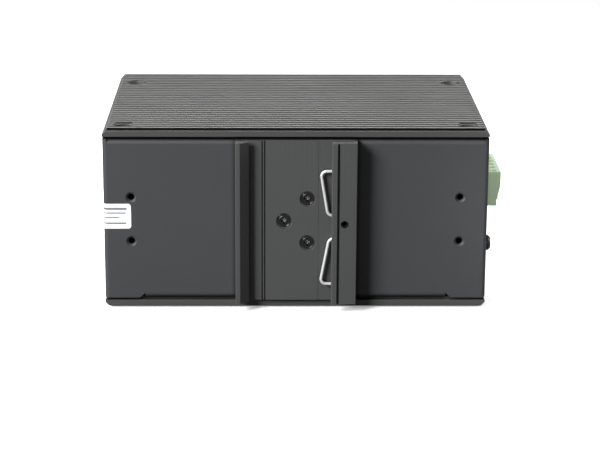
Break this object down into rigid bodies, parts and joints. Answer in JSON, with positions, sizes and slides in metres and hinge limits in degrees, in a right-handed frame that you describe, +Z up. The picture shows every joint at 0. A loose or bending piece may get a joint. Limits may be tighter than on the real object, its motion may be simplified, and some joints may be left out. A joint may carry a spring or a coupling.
{
  "type": "din rail ethernet switch",
  "caption": "Ethernet switch in a metal case with ribbed side panels, network ports at the front, a plug for power at one end and a sprung rail clip behind.",
  "frame": {"origin": "middle of the clip's flat face that bears on the mounting rail", "axes": "+X is the end that points up when the unit hangs on a rail, with the power plug; +Y runs from the rail into the unit, to the front panel; +Z is up with the unit lying on its side panel, as it rests"},
  "size_m": [0.1595, 0.1158, 0.0734],
  "materials": {
    "panel_aluminium": "black anodised, satin",
    "chassis_paint": "fine black powder coat",
    "clip_aluminium": "black anodised, satin",
    "black_screw_steel": "black oxide",
    "plated_steel": "zinc plated",
    "spring_steel": "bright drawn wire",
    "label_paper": "matt white film",
    "connector_green": "moulded, satin",
    "contact_metal": "gold plated",
    "circuit_board": "solder mask, semi-gloss",
    "chip_plastic": "moulded, matt",
    "black_plastic": "moulded, satin",
    "pad_rubber": "soft, matt",
    "bare_aluminium": "milled",
    "port_steel": "tin plated",
    "ferrite": "sintered, matt",
    "choke_coating": "epoxy coat and enamelled wire",
    "can_sleeve": "shrunk sleeve, satin",
    "relay_plastic": "moulded, satin",
    "fuse_glass": "glass with plated caps",
    "lamp_plastic": "diffused lens",
    "button_plastic": "moulded, satin"
  },
  "bodies": {
    "switch": {"upper_side_panel": "panel_aluminium", "lower_side_panel": "panel_aluminium", "chassis_shell": "chassis_paint", "front_panel": "chassis_paint", "din_clip": "clip_aluminium", "upper_panel_screws": "black_screw_steel", "lower_panel_screws": "black_screw_steel", "front_panel_screws": "black_screw_steel", "clip_screws": "black_screw_steel", "ground_screw": "black_screw_steel", "spring_pin": "black_screw_steel", "wall_mount_nuts": "black_screw_steel", "clip_nuts": "plated_steel", "ground_nut": "plated_steel", "ground_washer": "plated_steel", "lower_standoffs": "plated_steel", "middle_standoffs": "plated_steel", "board_screws": "plated_steel", "indicator_studs": "plated_steel", "plug_clamps": "plated_steel", "plug_screws": "plated_steel", "clip_spring": "spring_steel", "seal_label": "label_paper", "terminal_plug": "connector_green", "terminal_header": "connector_green", "header_pins": "contact_metal", "jack_contacts": "contact_metal", "main_board": "circuit_board", "power_board": "circuit_board", "indicator_board": "circuit_board", "switch_chip": "chip_plastic", "processor": "chip_plastic", "memory_chips": "chip_plastic", "link_socket": "black_plastic", "link_header": "black_plastic", "optics_socket_1": "black_plastic", "optics_socket_2": "black_plastic", "reset_switch": "black_plastic", "port_jack_1": "black_plastic", "port_jack_2": "black_plastic", "port_jack_3": "black_plastic", "port_jack_4": "black_plastic", "console_jack": "black_plastic", "thermal_pad": "pad_rubber", "heat_block": "bare_aluminium", "port_shield_1": "port_steel", "port_shield_2": "port_steel", "port_shield_3": "port_steel", "port_shield_4": "port_steel", "console_shield": "port_steel", "optics_cage_1": "port_steel", "optics_cage_2": "port_steel", "power_transformer": "ferrite", "filter_choke": "choke_coating", "input_capacitors": "can_sleeve", "output_capacitors": "can_sleeve", "alarm_relay": "relay_plastic", "input_fuses": "fuse_glass", "status_lamps": "lamp_plastic"},
    "reset_button": {"reset_button": "button_plastic"}
  },
  "joints": [
    {"name": "reset_press", "type": "slide", "parent": "switch", "child": "reset_button", "axis": [0, -1, 0], "range_m": [0, 0.0004], "stiffness_N_per_m": 4000}
  ]
}
